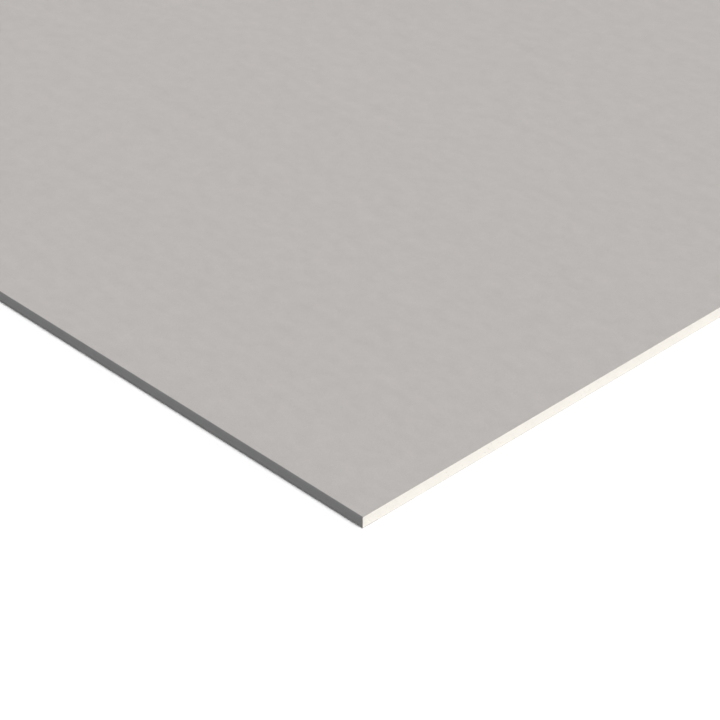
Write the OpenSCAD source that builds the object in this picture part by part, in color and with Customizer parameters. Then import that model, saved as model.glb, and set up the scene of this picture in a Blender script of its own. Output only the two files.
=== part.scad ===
// Drywall sheet, square edge: a cast gypsum core between two paper liners.
// The face paper covers the face, wraps both long edges and ends in a flap on
// the back. The back paper laps over the flaps. Both ends are cut square, so
// the core and the ends of the papers lie open there.
//
// Units are millimetres. The origin is the centre of the back, on which the
// sheet lies: +X runs along the sheet, +Y across it and +Z from back to face.

/* [Sheet] */
// Length of the sheet, from cut end to cut end
sheet_l = 2438.4; // [600:0.1:3660]
// Width of the sheet, from long edge to long edge
sheet_w = 1219.2; // [400:0.1:1400]
// Thickness of the sheet over both papers
sheet_t = 12.7; // [6.4:0.1:25.4]

/* [Face paper] */
// Thickness of the face paper
face_paper_t = 0.33; // [0.2:0.01:0.6]
// Outer radius of the folds along the long edges
fold_r = 1; // [0.7:0.1:2.5]
// Width of the flap on the back, measured from the long edge
flap_w = 19.05; // [10:0.05:40]

/* [Back paper] */
// Thickness of the back paper
back_paper_t = 0.3; // [0.2:0.01:0.6]
// Strip of flap that the back paper leaves bare along each long edge
bare_strip_w = 6.35; // [3:0.05:9]

/* [Hidden] */
$fn = 48;

// The wrapped body is all of the sheet except the back paper under it.
wrap_t = sheet_t - back_paper_t;
// The core's outline is the wrap's, less one paper on each side.
core_w = sheet_w - 2 * face_paper_t;
core_t = wrap_t - 2 * face_paper_t;
core_fold_r = fold_r - face_paper_t;
// Between the flaps the core sits on the back paper itself.
field_w = sheet_w - 2 * flap_w;
back_paper_w = sheet_w - 2 * bare_strip_w;

// The +Y end of a bar's outline, 2 * r deep, with its corners turned to radius
// r. It stands on the line y = 0 and ends at x = 0.
module bar_end(t, r) {
    translate([-2 * r, 0]) square([r, t]);
    translate([-r, r]) square([r, t - 2 * r]);
    for (y = [r, t - r]) translate([-r, y]) circle(r);
}

// Outline of a bar of width w and thickness t: its two ends and, well lapped
// into both of them, its middle.
module rounded_bar(w, t, r) {
    middle_w = w - 3 * r;
    translate([-middle_w / 2, 0]) square([middle_w, t]);
    translate([w / 2, 0]) bar_end(t, r);
    mirror([1, 0]) translate([w / 2, 0]) bar_end(t, r);
}

// Outline of the wrapped body, standing on the back paper.
module wrap_outline() {
    translate([0, back_paper_t]) rounded_bar(sheet_w, wrap_t, fold_r);
}

// Outline of the gypsum: it fills the wrap and fills the gap between the
// flaps, down to the back paper.
module core_outline() {
    translate([0, back_paper_t + face_paper_t])
        rounded_bar(core_w, core_t, core_fold_r);
    translate([-field_w / 2, back_paper_t])
        square([field_w, face_paper_t + core_fold_r]);
}

// Runs an outline, drawn across the width, along the whole sheet.
module run_along_sheet() {
    rotate([90, 0, 90])
        linear_extrude(height = sheet_l, center = true) children();
}

module gypsum_core() {
    color([0.96, 0.94, 0.90])
        run_along_sheet() core_outline();
}

module face_paper() {
    color([0.73, 0.72, 0.71])
        run_along_sheet() difference() {
            wrap_outline();
            core_outline();
        }
}

module back_paper() {
    color([0.64, 0.62, 0.59])
        run_along_sheet()
            translate([-back_paper_w / 2, 0]) square([back_paper_w, back_paper_t]);
}

gypsum_core();
face_paper();
back_paper();
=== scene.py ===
"""The finish of a square-edge drywall sheet, laid out as an add-on.

The sheet lies on its back on a pale studio floor. Its two papers keep their own
shapes and get the look of felted liner paper. Its gypsum core is built again
with the pits and knife marks of its two cut ends. Lengths are in metres, in the
sheet's own frame: +X along the sheet, +Y across it and +Z from back to face.
"""

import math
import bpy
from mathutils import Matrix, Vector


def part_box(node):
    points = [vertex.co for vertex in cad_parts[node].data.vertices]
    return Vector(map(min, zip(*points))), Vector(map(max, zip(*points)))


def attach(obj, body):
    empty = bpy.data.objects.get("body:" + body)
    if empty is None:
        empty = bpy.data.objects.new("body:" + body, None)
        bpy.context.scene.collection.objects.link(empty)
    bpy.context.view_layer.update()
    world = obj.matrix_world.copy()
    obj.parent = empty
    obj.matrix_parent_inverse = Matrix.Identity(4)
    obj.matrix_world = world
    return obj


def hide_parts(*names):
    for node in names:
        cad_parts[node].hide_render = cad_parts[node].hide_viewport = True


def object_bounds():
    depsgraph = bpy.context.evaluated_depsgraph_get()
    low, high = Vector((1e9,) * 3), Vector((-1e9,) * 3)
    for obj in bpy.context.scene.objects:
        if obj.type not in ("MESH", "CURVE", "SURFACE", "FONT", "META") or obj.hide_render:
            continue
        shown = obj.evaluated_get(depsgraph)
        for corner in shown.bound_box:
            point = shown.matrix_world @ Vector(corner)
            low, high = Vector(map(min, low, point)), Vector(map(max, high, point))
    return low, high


bl_info = {
    "name": "Drywall Sheet",
    "version": (1, 0, 0),
    "blender": (4, 5, 0),
    "location": "View3D > Sidebar > Drywall",
    "description": "Cut gypsum core, face paper, back paper and studio of a drywall sheet",
    "category": "Object",
}

import bmesh
import bpy
import numpy as np
from bpy.props import FloatProperty, FloatVectorProperty, IntProperty, PointerProperty
from mathutils import Vector, noise
from mathutils.geometry import delaunay_2d_cdt

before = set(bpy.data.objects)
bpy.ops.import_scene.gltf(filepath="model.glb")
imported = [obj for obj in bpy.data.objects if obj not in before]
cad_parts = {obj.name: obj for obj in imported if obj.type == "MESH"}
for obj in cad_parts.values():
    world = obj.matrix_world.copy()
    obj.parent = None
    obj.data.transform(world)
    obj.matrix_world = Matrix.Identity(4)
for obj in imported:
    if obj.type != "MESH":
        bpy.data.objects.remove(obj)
CAD_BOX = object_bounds()

MM = 0.001
# Corners nearer to each other than this are one corner.
WELD = 0.001 * MM


# ---------------------------------------------------------------- settings


class CoreSettings(bpy.types.PropertyGroup):
    """The gypsum core and the relief of its cut ends"""

    colour: FloatVectorProperty(
        name="Gypsum",
        description="Colour of the dry gypsum",
        subtype="COLOR", size=3, min=0, max=1,
        default=(0.795, 0.762, 0.709),
    )
    pits: IntProperty(
        name="Pits",
        description="Air pits that each cut end opens",
        default=3500, min=0, max=3800,
    )
    pit_small: FloatProperty(
        name="Smallest pit",
        description="Radius of the smallest pits",
        unit="LENGTH", precision=5, default=0.14 * MM, min=0.08 * MM, max=0.5 * MM,
    )
    pit_large: FloatProperty(
        name="Largest pit",
        description="Radius of the largest pits",
        unit="LENGTH", precision=5, default=0.95 * MM, min=0.5 * MM, max=2 * MM,
    )
    recess: FloatProperty(
        name="Recess",
        description="How far the core lies back from the ends of its papers",
        unit="LENGTH", precision=5, default=0.04 * MM, min=0, max=0.5 * MM,
    )
    wave: FloatProperty(
        name="Knife waves",
        description="Depth of the shallow waves that the knife leaves",
        unit="LENGTH", precision=5, default=0.12 * MM, min=0, max=0.5 * MM,
    )
    seed: IntProperty(
        name="Seed",
        description="Start of the random places of the pits",
        default=11, min=0,
    )


class PaperLook:
    """What the two papers have in common"""

    cloud_size: FloatProperty(
        name="Cloud size",
        description="Width of the faint clouds in the paper",
        unit="LENGTH", default=14 * MM, min=MM,
    )
    fibre_length: FloatProperty(
        name="Fibre length",
        description="Length of the paper's fibres",
        unit="LENGTH", default=2.4 * MM, min=0.2 * MM,
    )
    fibre_width: FloatProperty(
        name="Fibre width",
        description="Width of a bundle of fibres",
        unit="LENGTH", precision=5, default=0.16 * MM, min=0.02 * MM,
    )
    fleck_spacing: FloatProperty(
        name="Fleck spacing",
        description="Distance between flecks of recycled stock",
        unit="LENGTH", default=5 * MM, min=MM,
    )
    nap: FloatProperty(
        name="Nap",
        description="Height of the fibres on the surface",
        unit="LENGTH", precision=5, default=0.06 * MM, min=0, max=0.2 * MM,
    )


class FacePaperSettings(PaperLook, bpy.types.PropertyGroup):
    """The paper on the face, which wraps both long edges"""

    colour: FloatVectorProperty(
        name="Face",
        description="Colour of the paper on the face",
        subtype="COLOR", size=3, min=0, max=1,
        default=(0.453, 0.430, 0.4155),
    )
    # Painted shade: the wrapped edges are the face's own paper, given this darker grey so that they
    # look shaded.
    painted_edge_shade: FloatVectorProperty(
        name="Wrapped edge",
        description="Colour of the paper where it wraps the long edges",
        subtype="COLOR", size=3, min=0, max=1,
        default=(0.210, 0.210, 0.210),
    )
    ply_colour: FloatVectorProperty(
        name="Cut ply",
        description="Colour of the paper's own cut edge",
        subtype="COLOR", size=3, min=0, max=1,
        default=(0.50, 0.475, 0.44),
    )
    tone: FloatProperty(
        name="Mottle",
        description="Strength of the clouds, streaks and fibres in the colour",
        subtype="FACTOR", default=1.2, min=0, max=3,
    )


class BackPaperSettings(PaperLook, bpy.types.PropertyGroup):
    """The paper on the back"""

    colour: FloatVectorProperty(
        name="Back",
        description="Colour of the paper on the back",
        subtype="COLOR", size=3, min=0, max=1,
        default=(0.36, 0.33, 0.29),
    )
    tone: FloatProperty(
        name="Mottle",
        description="Strength of the clouds, streaks and fibres in the colour",
        subtype="FACTOR", default=1.4, min=0, max=3,
    )


class StudioSettings(bpy.types.PropertyGroup):
    """The floor, the light and the camera"""

    floor_colour: FloatVectorProperty(
        name="Floor",
        description="Colour of the floor",
        subtype="COLOR", size=3, min=0, max=1,
        default=(0.98, 0.98, 0.98),
    )
    floor_radius: FloatProperty(
        name="Floor radius",
        description="How far the floor runs from the sheet",
        unit="LENGTH", default=150, min=5,
    )
    key_strength: FloatProperty(
        name="Key light",
        description="Strength of the key light",
        default=3.0, min=0,
    )
    key_azimuth: FloatProperty(
        name="Key azimuth",
        description="Where the key light stands, turned from +X towards +Y",
        subtype="ANGLE", default=math.radians(4),
    )
    key_elevation: FloatProperty(
        name="Key elevation",
        description="How high the key light stands over the floor",
        subtype="ANGLE", default=math.radians(61),
    )
    key_softness: FloatProperty(
        name="Key softness",
        description="How wide the key light looks from the sheet",
        subtype="ANGLE", default=math.radians(24),
    )
    fill: FloatProperty(
        name="Fill light",
        description="Brightness of the studio's ceiling and upper walls",
        default=0.15, min=0,
    )
    wall: FloatProperty(
        name="Wall",
        description="Brightness of the pale wall at the horizon",
        default=1.0, min=0,
    )
    screen: FloatProperty(
        name="Light screen",
        description="Brightness of the broad low screen that lights the -X end",
        default=2.0, min=0,
    )
    screen_azimuth: FloatProperty(
        name="Screen azimuth",
        description="Where the middle of the screen stands, turned from +X towards +Y",
        subtype="ANGLE", default=math.radians(150),
    )
    camera_azimuth: FloatProperty(
        name="Camera azimuth",
        description="Turn of the camera round the sheet: 0 looks along +Y",
        subtype="ANGLE", default=math.radians(45.836),
    )
    camera_elevation: FloatProperty(
        name="Camera elevation",
        description="How high the camera stands over the horizon",
        subtype="ANGLE", default=math.radians(33.960),
    )
    camera_distance: FloatProperty(
        name="Camera distance",
        description="From the camera to the point it looks at",
        unit="LENGTH", default=2.70427, min=0.1,
    )
    camera_lens: FloatProperty(
        name="Lens",
        description="Focal length of the camera",
        unit="CAMERA", default=140.77, min=1,
    )
    aim_from_end: FloatProperty(
        name="Aim from the end",
        description="From the sheet's +X end to the point the camera looks at",
        unit="LENGTH", default=0.18079,
    )
    aim_from_edge: FloatProperty(
        name="Aim from the edge",
        description="From the sheet's -Y edge to the point the camera looks at",
        unit="LENGTH", default=0.17231,
    )


# ---------------------------------------------------------------- shaders


class Value:
    """A node's output that takes part in arithmetic: each operator adds a Math node"""

    def __init__(self, shader, socket):
        self.shader = shader
        self.socket = socket

    def math(self, operation, *operands):
        return self.shader.node("ShaderNodeMath", {"operation": operation}, dict(enumerate(operands)))

    def __add__(self, other):
        return self.math("ADD", self, other)

    def __radd__(self, other):
        return self.math("ADD", other, self)

    def __sub__(self, other):
        return self.math("SUBTRACT", self, other)

    def __rsub__(self, other):
        return self.math("SUBTRACT", other, self)

    def __mul__(self, other):
        return self.math("MULTIPLY", self, other)

    def __rmul__(self, other):
        return self.math("MULTIPLY", other, self)

    def __abs__(self):
        return self.math("ABSOLUTE", self)


class Shader:
    """A node tree written as expressions"""

    def __init__(self, tree):
        self.tree = tree
        tree.nodes.clear()

    def node(self, kind, settings=None, sockets=None, out=0):
        """Adds a node, sets it up, fills its sockets by name or number, and gives its output"""
        node = self.tree.nodes.new(kind)
        for name, setting in (settings or {}).items():
            setattr(node, name, setting)
        for key, value in (sockets or {}).items():
            socket = node.inputs[key]
            if isinstance(value, Value):
                self.tree.links.new(value.socket, socket)
            else:
                socket.default_value = (*value, 1) if socket.type == "RGBA" else value
        return Value(self, node.outputs[out]) if node.outputs else None

    def position(self):
        """Where a point lies in the sheet's frame"""
        return self.node("ShaderNodeTexCoord", out="Object")

    def axes(self, vector):
        """The X, Y and Z of a vector"""
        return [self.node("ShaderNodeSeparateXYZ", None, {0: vector}, axis) for axis in "XYZ"]

    def measured_in(self, vector, size, turn=0.0):
        """A place counted in steps of size, along axes turned about Z"""
        return self.node(
            "ShaderNodeMapping",
            {"vector_type": "TEXTURE"},
            {"Vector": vector, "Rotation": (0, 0, turn), "Scale": size},
        )

    def noise(self, vector, detail=2.0):
        """Noise from about -1 to 1 with features one step wide"""
        sockets = {"Vector": vector, "Scale": 1.0, "Detail": detail}
        return self.node("ShaderNodeTexNoise", None, sockets) * 2 - 1

    def rise(self, value, low, high):
        """0 below low and 1 above high, with a smooth step between them"""
        return self.node(
            "ShaderNodeMapRange",
            {"interpolation_type": "SMOOTHSTEP"},
            {"Value": value, "From Min": low, "From Max": high},
        )

    def shade(self, colour, tone):
        """A colour times a tone"""
        return self.node("ShaderNodeVectorMath", {"operation": "SCALE"}, {0: colour, "Scale": tone})

    def mix(self, mask, colour, over):
        """One colour where mask is 0 and the other where it is 1"""
        return self.node("ShaderNodeMix", {"data_type": "RGBA"}, {0: mask, 6: colour, 7: over}, 2)

    def bump(self, height, size):
        """The normal of a surface whose height is counted in steps of size"""
        return self.node("ShaderNodeBump", None, {"Height": height, "Distance": size})

    def surface(self, colour, roughness, normal=None, gloss=0.3):
        """Ends a material's tree in a matt surface"""
        sockets = {"Base Color": colour, "Roughness": roughness, "Specular IOR Level": gloss}
        if normal:
            sockets["Normal"] = normal
        surface = self.node("ShaderNodeBsdfPrincipled", None, sockets)
        self.node("ShaderNodeOutputMaterial", None, {"Surface": surface})


def new_material(name):
    """A material and its empty shader"""
    material = bpy.data.materials.new(name)
    material.use_nodes = True
    return material, Shader(material.node_tree)


def felted_fibres(shader, position, length, width):
    """Fibres that lie mostly along the sheet, as a height from 0 to 1"""
    height = 0.0
    # A fibre runs wherever its stretched noise is nearer to 0 than this.
    fibre_side = 0.35
    # How far each lay is turned, how long its fibres are and its share of the height.
    lays = ((-0.62, 0.8, 0.2), (-0.17, 1.2, 0.35), (0.09, 1.0, 0.25), (0.48, 0.7, 0.2))
    for turn, stretch, share in lays:
        size = (length * stretch, width, width)
        off_fibre = abs(shader.noise(shader.measured_in(position, size, turn), detail=1.0))
        height = height + (1 - shader.rise(off_fibre, 0.0, fibre_side)) * share
    return height


def flecks(shader, position, spacing, reach, share, seed):
    """A mask of flecks: share of the cells hold one, and its radius is reach times the spacing"""
    # Cells and flecks are drawn out along the sheet.
    cells = shader.measured_in(position, (spacing * 1.5, spacing, spacing))
    shifted = {0: cells, 1: (seed, seed, seed)}
    place = shader.node("ShaderNodeVectorMath", {"operation": "ADD"}, shifted)
    sockets = {"Vector": place, "Scale": 1.0}
    distance = shader.node("ShaderNodeTexVoronoi", None, sockets, "Distance")
    lot = shader.axes(shader.node("ShaderNodeTexVoronoi", None, sockets, "Color"))[0]
    # Some flecks are faint, and each one fades out towards its rim.
    chosen = shader.rise(lot, 1 - share, 1 - 0.6 * share)
    return chosen * (1 - shader.rise(distance, 0.4 * reach, reach))


def liner_paper(shader, position, look):
    """The tone of a liner paper, near 1, and its height, from about 0 to 1"""
    cloud_size = (look.cloud_size * 1.4, look.cloud_size, look.cloud_size)
    clouds = shader.noise(shader.measured_in(position, cloud_size), detail=4.0)
    # Streaks run along the sheet, as the paper ran through its machine.
    streak_size = (900 * MM, 16 * MM, 16 * MM)
    streaks = shader.noise(shader.measured_in(position, streak_size), detail=3.0)
    fibres = felted_fibres(shader, position, look.fibre_length, look.fibre_width)
    # About what the fibres' height averages, so that the tone averages about 1.
    usual_fibres = 0.55
    mottle = clouds * 0.06 + streaks * 0.02 + (fibres - usual_fibres) * 0.22
    spacing = look.fleck_spacing
    dark = flecks(shader, position, spacing, reach=0.10, share=0.5, seed=3.7)
    pale = flecks(shader, position, spacing * 0.8, reach=0.12, share=0.4, seed=41.3)
    tone = 1 + (mottle - dark * 0.16 + pale * 0.10) * look.tone
    return tone, fibres * 0.9 + clouds * 0.1


# ---------------------------------------------------------------- gypsum core


def cut_outline(node, end_x):
    """The outline of a CAD node in its cut end at end_x, as (y, z) corners in order"""
    mesh = bmesh.new()
    mesh.from_mesh(node.data)
    bmesh.ops.remove_doubles(mesh, verts=mesh.verts, dist=WELD)
    beside = {}
    for edge in mesh.edges:
        at_end = all(abs(corner.co.x - end_x) < WELD for corner in edge.verts)
        if at_end and any(abs(face.normal.x) < 0.5 for face in edge.link_faces):
            for here, there in (edge.verts, reversed(edge.verts)):
                beside.setdefault(here, []).append(there)
    start = next(iter(beside))
    loop, last = [start], None
    while True:
        step = next(corner for corner in beside[loop[-1]] if corner is not last)
        if step is start:
            break
        last = loop[-1]
        loop.append(step)
    outline = np.array([(corner.co.y, corner.co.z) for corner in loop])
    mesh.free()
    after = np.roll(outline, -1, axis=0)
    turns_left = np.sum(outline[:, 0] * after[:, 1] - after[:, 0] * outline[:, 1]) > 0
    return outline if turns_left else outline[::-1]


def divided(outline, step):
    """The outline with its long sides cut into lengths no longer than step"""
    points = []
    for here, there in zip(outline, np.roll(outline, -1, axis=0)):
        count = max(1, math.ceil(np.linalg.norm(there - here) / step))
        points.extend(here + (there - here) * i / count for i in range(count))
    return np.array(points)


def inside(outline, points, clearance):
    """Which points lie inside the outline, each with its own clearance from it"""
    here, there = outline, np.roll(outline, -1, axis=0)
    side = there - here
    result = np.zeros(len(points), bool)
    for i, (point, room) in enumerate(zip(points, clearance)):
        above = (here[:, 1] > point[1]) != (there[:, 1] > point[1])
        crossing = here[above, 0] + side[above, 0] * (point[1] - here[above, 1]) / side[above, 1]
        if np.count_nonzero(crossing > point[0]) % 2:
            along = np.clip(np.sum((point - here) * side, axis=1) / np.sum(side**2, axis=1), 0, 1)
            nearest = np.linalg.norm(here + side * along[:, None] - point, axis=1).min()
            result[i] = nearest > room
    return result


def scatter_pits(outline, core, rng):
    """Rows of (y, z, radius) of pits that lie inside the outline and clear of each other"""
    # About a third of the places turn out too near the outline or another pit.
    tries = core.pits * 2
    low, high = outline.min(axis=0), outline.max(axis=0)
    places = rng.uniform(low, high, (tries, 2))
    # The further this is below 1, the commoner small pits are.
    size_skew = 0.42
    growth = rng.power(size_skew, tries)
    radii = core.pit_small * (core.pit_large / core.pit_small) ** growth
    large_first = np.argsort(-radii)
    places, radii = places[large_first], radii[large_first]
    wall = 0.12 * MM
    fits = inside(outline, places, radii + wall)
    kept = np.zeros((0, 3))
    for place, radius in zip(places[fits], radii[fits]):
        room = np.hypot(kept[:, 0] - place[0], kept[:, 1] - place[1]) - kept[:, 2] - radius
        if not np.any(room < wall):
            kept = np.vstack([kept, (*place, radius)])
    if len(kept) > core.pits:
        kept = kept[np.sort(rng.permutation(len(kept))[: core.pits])]
    return kept


def pit_rings(radius):
    """A pit as rings of (share of its radius, share of its depth, number of corners)"""
    tiny, middling = 0.28 * MM, 0.5 * MM
    bottom = (0.0, 1.0, 1)
    if radius < tiny:
        return ((1.0, 0.0, 6), bottom)
    if radius < middling:
        return ((1.0, 0.0, 8), (0.55, 0.75, 5), bottom)
    return ((1.0, 0.0, 12), (0.8, 0.55, 9), (0.45, 0.88, 6), bottom)


def pit_points(pits, rng):
    """The corners of all pits as rows of (y, z, depth under the cut)"""
    rows = []
    for y, z, radius in pits:
        depth = radius * rng.uniform(0.45, 0.9)
        turn, squash = rng.uniform(0, math.pi), rng.uniform(0.72, 1.0)
        for reach, sink, count in pit_rings(radius):
            angle = rng.uniform(0, math.tau) + math.tau * np.arange(count) / count
            ragged = radius * reach * rng.uniform(0.86, 1.0, count)
            along, across = ragged * np.cos(angle), ragged * np.sin(angle) * squash
            rows.append(np.column_stack([
                y + along * math.cos(turn) - across * math.sin(turn),
                z + along * math.sin(turn) + across * math.cos(turn),
                np.full(count, depth * sink),
            ]))
    return np.vstack(rows) if rows else np.zeros((0, 3))


def field_points(outline, pits, step, rng):
    """Loose corners about a step apart that carry the knife waves between the pits, as (y, z, 0)"""
    low, high = outline.min(axis=0), outline.max(axis=0)
    across, up = (np.arange(start + step / 2, stop, step) for start, stop in zip(low, high))
    points = np.stack(np.meshgrid(across, up), -1).reshape(-1, 2)
    loose = 0.3
    points = points + rng.uniform(-loose, loose, points.shape) * step
    points = points[inside(outline, points, np.full(len(points), loose * step))]
    reach = 1.1 * pits[:, 2]
    apart = [np.all(np.hypot(*(pits[:, :2] - point).T) > reach) for point in points]
    points = points[np.array(apart, bool)]
    return np.column_stack([points, np.zeros(len(points))])


def knife_depth(y, z, core, side):
    """How deep the knife left a point of the cut under the ends of the papers"""
    # The last number of each place only makes the two cut ends differ.
    wave = noise.noise(Vector((y / (23 * MM), z / (9 * MM), side * 7.3)))
    drag = noise.noise(Vector((y / (1.7 * MM), z / (14 * MM), side * 3.1)))
    return core.recess + core.wave * (0.5 + 0.35 * wave + 0.15 * drag)


def cut_end(outline, core, side, rng):
    """The cut end on one side, 1 or -1, as (corners, triangles, numbers of the outline's corners)"""
    pits = scatter_pits(outline, core, rng)
    rim = np.column_stack([outline, np.zeros(len(outline))])
    field_step = 1.6 * MM
    field = field_points(outline, pits, field_step, rng)
    points = np.vstack([rim, pit_points(pits, rng), field])
    section = list(range(len(outline)))
    whole_hull = 0
    epsilon = 0.1 * WELD
    flat, _, triangles, origin, _, parents = delaunay_2d_cdt(
        [Vector(point[:2]) for point in points], [], [section], whole_hull, epsilon
    )
    # The hull also spans the notches over the flaps: only the section is kept.
    triangles = [triangle for triangle, parent in zip(triangles, parents) if parent]
    end_x = side * CAD_BOX[1].x
    corners, number = [], {}
    for i, (place, given) in enumerate(zip(flat, origin)):
        depth = points[given[0], 2] + knife_depth(place.x, place.y, core, side)
        corners.append((end_x - side * depth, place.x, place.y))
        number.update({point: i for point in given})
    if side < 0:
        triangles = [tuple(reversed(triangle)) for triangle in triangles]
    return corners, triangles, [number[i] for i in range(len(outline))]


def core_mesh(core):
    """The gypsum core: its CAD section run along the sheet between two cut ends"""
    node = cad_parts["gypsum_core"]
    side_step = 2 * MM
    outline = divided(cut_outline(node, CAD_BOX[1].x), side_step)
    rng = np.random.default_rng(core.seed)
    front, front_faces, front_rim = cut_end(outline, core, 1, rng)
    rear, rear_faces, rear_rim = cut_end(outline, core, -1, rng)
    shift = len(front)
    rear_rim = [i + shift for i in rear_rim]
    rear_faces = [tuple(i + shift for i in face) for face in rear_faces]
    sides = []
    for i in range(len(outline)):
        j = (i + 1) % len(outline)
        sides.append((front_rim[i], rear_rim[i], rear_rim[j], front_rim[j]))
    mesh = bpy.data.meshes.new("Gypsum_core")
    mesh.from_pydata(front + rear, [], front_faces + rear_faces + sides)
    crease = math.radians(38)
    mesh.shade_smooth()
    mesh.set_sharp_from_angle(angle=crease)
    return mesh


def gypsum_material(core):
    """Cast gypsum: pale, chalky and finely pored, with faint knife drag, and painted shade in its
    pores and pits
    """
    material, shader = new_material("Gypsum")
    position = shader.position()
    grain_size = (0.35 * MM, 0.35 * MM, 0.35 * MM)
    blotch_size = (9 * MM, 9 * MM, 4 * MM)
    drag_size = (MM, 0.5 * MM, 6 * MM)
    pore_spacing = 0.7 * MM
    relief = 0.05 * MM
    grain = shader.noise(shader.measured_in(position, grain_size), detail=3.0)
    blotch = shader.noise(shader.measured_in(position, blotch_size), detail=3.0)
    drag = shader.noise(shader.measured_in(position, drag_size), detail=2.0)
    # Pores: small dents in the bump, and painted shade where they darken the colour.
    pore_dents_and_shade = flecks(shader, position, pore_spacing, reach=0.22, share=0.7, seed=12.9)
    # Painted shade: the bottoms of the pits are made a little darker than the cut.
    under_cut = CAD_BOX[1].x - abs(shader.axes(position)[0])
    deep = shader.rise(under_cut, 0.15 * MM, 0.8 * MM)
    tone = 1 + grain * 0.05 + blotch * 0.025 + drag * 0.02 - pore_dents_and_shade * 0.10 - deep * 0.08
    height = grain * 0.5 + drag * 0.3 - pore_dents_and_shade
    shader.surface(
        shader.shade(core.colour, tone),
        0.88 + grain * 0.05,
        shader.bump(height, relief),
        gloss=0.2,
    )
    return material


# ---------------------------------------------------------------- papers


def fold_depth(node_name):
    """How far in from its long edge a wrapped paper starts to turn down"""
    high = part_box(node_name)[1]
    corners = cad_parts[node_name].data.vertices
    flat = [corner.co.y for corner in corners if high.z - corner.co.z < WELD]
    return high.y - max(flat)


def face_paper_material(look):
    """Grey liner paper, with painted shade where it wraps the long edges"""
    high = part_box("face_paper")[1]
    fold = fold_depth("face_paper")
    material, shader = new_material("Face_paper")
    position = shader.position()
    along, across, _ = shader.axes(position)
    tone, height = liner_paper(shader, position, look)
    # Where the paper wraps the long edges: painted shade in the colour, and a slightly lower
    # roughness.
    wrapped = shader.rise(abs(across), high.y - fold, high.y - 0.4 * fold)
    # The paper's own cut edge is what lies in this last sliver of its length.
    ply = shader.rise(abs(along), high.x - 0.02 * MM, high.x - 0.01 * MM)
    colour = shader.mix(wrapped, look.colour, look.painted_edge_shade)
    colour = shader.mix(ply, colour, look.ply_colour)
    shader.surface(
        shader.shade(colour, tone),
        0.84 + height * 0.08 - wrapped * 0.04,
        shader.bump(height, look.nap),
    )
    return material


def back_paper_material(look):
    """Darker and browner liner paper with more stray fibres"""
    material, shader = new_material("Back_paper")
    tone, height = liner_paper(shader, shader.position(), look)
    shader.surface(
        shader.shade(look.colour, tone),
        0.88 + height * 0.06,
        shader.bump(height, look.nap * 1.5),
    )
    return material


def repaint(node_name, material):
    """Gives a CAD node its finish"""
    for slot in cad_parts[node_name].material_slots:
        slot.material = material


# ---------------------------------------------------------------- studio


def towards(azimuth, elevation):
    """The direction at this turn from +X towards +Y and this height over the floor"""
    level = math.cos(elevation)
    return Vector((level * math.cos(azimuth), level * math.sin(azimuth), math.sin(elevation)))


def add_to_scene(name, data):
    """A new object that holds data, in the scene"""
    thing = bpy.data.objects.new(name, data)
    bpy.context.scene.collection.objects.link(thing)
    return thing


def lay_floor(studio):
    """A plain round floor"""
    disc = bmesh.new()
    bmesh.ops.create_circle(disc, cap_ends=True, radius=studio.floor_radius, segments=96)
    mesh = bpy.data.meshes.new("Floor")
    disc.to_mesh(mesh)
    disc.free()
    material, shader = new_material("Floor")
    shader.surface(studio.floor_colour, 0.95, gloss=0.1)
    mesh.materials.append(material)
    floor = add_to_scene("Floor", mesh)


def light_studio(studio):
    """One broad key light, a dim ceiling, a pale wall at the horizon and a low screen"""
    lamp = bpy.data.lights.new("Key_light", "SUN")
    lamp.energy = studio.key_strength
    lamp.angle = studio.key_softness
    key = add_to_scene("Key_light", lamp)
    direction = towards(studio.key_azimuth, studio.key_elevation)
    key.rotation_euler = direction.to_track_quat("Z", "Y").to_euler()
    world = bpy.data.worlds.new("Studio")
    world.use_nodes = True
    shader = Shader(world.node_tree)
    outward = shader.node("ShaderNodeTexCoord", out="Generated")
    up = shader.axes(outward)[2]
    middle = {0: outward, 1: towards(studio.screen_azimuth, 0)}
    ahead = shader.node("ShaderNodeVectorMath", {"operation": "DOT_PRODUCT"}, middle, "Value")
    # Each soft border lies between two angles: two over the floor and one off the screen's middle.
    wall_top, screen_top, screen_side = np.radians([(6, 14), (18, 24), (60, 45)])
    ceiling = shader.rise(up, *np.sin(wall_top))
    screen = shader.rise(ahead, *np.cos(screen_side)) * (1 - shader.rise(up, *np.sin(screen_top)))
    strength = studio.wall + ceiling * (studio.fill - studio.wall) + screen * studio.screen
    light = shader.node("ShaderNodeBackground", None, {"Color": (1, 1, 1), "Strength": strength})
    shader.node("ShaderNodeOutputWorld", None, {"Surface": light})
    bpy.context.scene.world = world


def place_camera(studio):
    """A long lens that looks down on the near corner of the sheet"""
    low, high = CAD_BOX
    lens = bpy.data.cameras.new("Camera")
    lens.lens = studio.camera_lens
    lens.clip_end = 4 * studio.floor_radius
    camera = add_to_scene("Camera", lens)
    # At azimuth 0 the camera stands on the -Y side.
    back = towards(studio.camera_azimuth - math.pi / 2, studio.camera_elevation)
    aim = Vector((high.x - studio.aim_from_end, low.y + studio.aim_from_edge, high.z))
    camera.location = aim + back * studio.camera_distance
    camera.rotation_euler = back.to_track_quat("Z", "Y").to_euler()
    bpy.context.scene.camera = camera


# ---------------------------------------------------------------- operators


class DRYWALL_OT_gypsum_core(bpy.types.Operator):
    """Build the gypsum core with its two cut ends"""

    bl_idname = "drywall.gypsum_core"
    bl_label = "Gypsum Core"
    bl_options = {"REGISTER", "UNDO"}

    def execute(self, context):
        core = context.scene.drywall_core
        mesh = core_mesh(core)
        mesh.materials.append(gypsum_material(core))
        piece = add_to_scene("Gypsum_core_cut", mesh)
        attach(piece, "root")
        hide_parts("gypsum_core")
        return {"FINISHED"}


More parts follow.
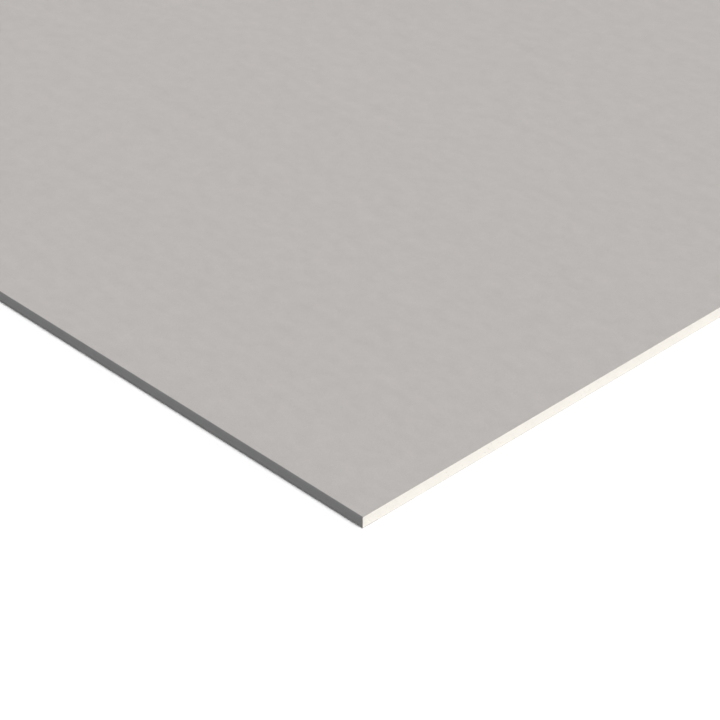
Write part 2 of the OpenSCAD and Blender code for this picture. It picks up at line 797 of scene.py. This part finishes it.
class DRYWALL_OT_face_paper(bpy.types.Operator):
    """Finish the paper that covers the face and wraps both long edges"""

    bl_idname = "drywall.face_paper"
    bl_label = "Face Paper"
    bl_options = {"REGISTER", "UNDO"}

    def execute(self, context):
        repaint("face_paper", face_paper_material(context.scene.drywall_face_paper))
        return {"FINISHED"}


class DRYWALL_OT_back_paper(bpy.types.Operator):
    """Finish the paper on the back"""

    bl_idname = "drywall.back_paper"
    bl_label = "Back Paper"
    bl_options = {"REGISTER", "UNDO"}

    def execute(self, context):
        repaint("back_paper", back_paper_material(context.scene.drywall_back_paper))
        return {"FINISHED"}


class DRYWALL_OT_studio(bpy.types.Operator):
    """Lay the floor, light the sheet and place the camera"""

    bl_idname = "drywall.studio"
    bl_label = "Studio"
    bl_options = {"REGISTER", "UNDO"}

    def execute(self, context):
        studio = context.scene.drywall_studio
        lay_floor(studio)
        light_studio(studio)
        place_camera(studio)
        # Standard shows the lit colours as they are.
        context.scene.view_settings.view_transform = "Standard"
        return {"FINISHED"}


class DRYWALL_PT_sheet(bpy.types.Panel):
    """Sizes, colours and steps of the drywall sheet"""

    bl_idname = "DRYWALL_PT_sheet"
    bl_label = "Drywall Sheet"
    bl_space_type = "VIEW_3D"
    bl_region_type = "UI"
    bl_category = "Drywall"

    def draw(self, context):
        for step, group in STEPS.items():
            box = self.layout.box()
            settings = getattr(context.scene, group)
            for name in settings.bl_rna.properties.keys():
                if name not in ("rna_type", "name"):
                    box.prop(settings, name)
            box.operator(f"drywall.{step}")


# Each step's operator, and the scene property that holds its settings.
STEPS = {
    "gypsum_core": "drywall_core",
    "face_paper": "drywall_face_paper",
    "back_paper": "drywall_back_paper",
    "studio": "drywall_studio",
}
SETTINGS = {
    "drywall_core": CoreSettings,
    "drywall_face_paper": FacePaperSettings,
    "drywall_back_paper": BackPaperSettings,
    "drywall_studio": StudioSettings,
}
CLASSES = (
    *SETTINGS.values(),
    DRYWALL_OT_gypsum_core,
    DRYWALL_OT_face_paper,
    DRYWALL_OT_back_paper,
    DRYWALL_OT_studio,
    DRYWALL_PT_sheet,
)


def register():
    """Makes the settings, operators and panel known"""
    for cls in CLASSES:
        bpy.utils.register_class(cls)
    for name, group in SETTINGS.items():
        setattr(bpy.types.Scene, name, PointerProperty(type=group))


def unregister():
    """Takes them all away again"""
    for name in SETTINGS:
        delattr(bpy.types.Scene, name)
    for cls in reversed(CLASSES):
        bpy.utils.unregister_class(cls)


def main():
    """Builds the sheet and its studio"""
    register()
    for step in STEPS:
        getattr(bpy.ops.drywall, step)()


if __name__ == "__main__":
    main()
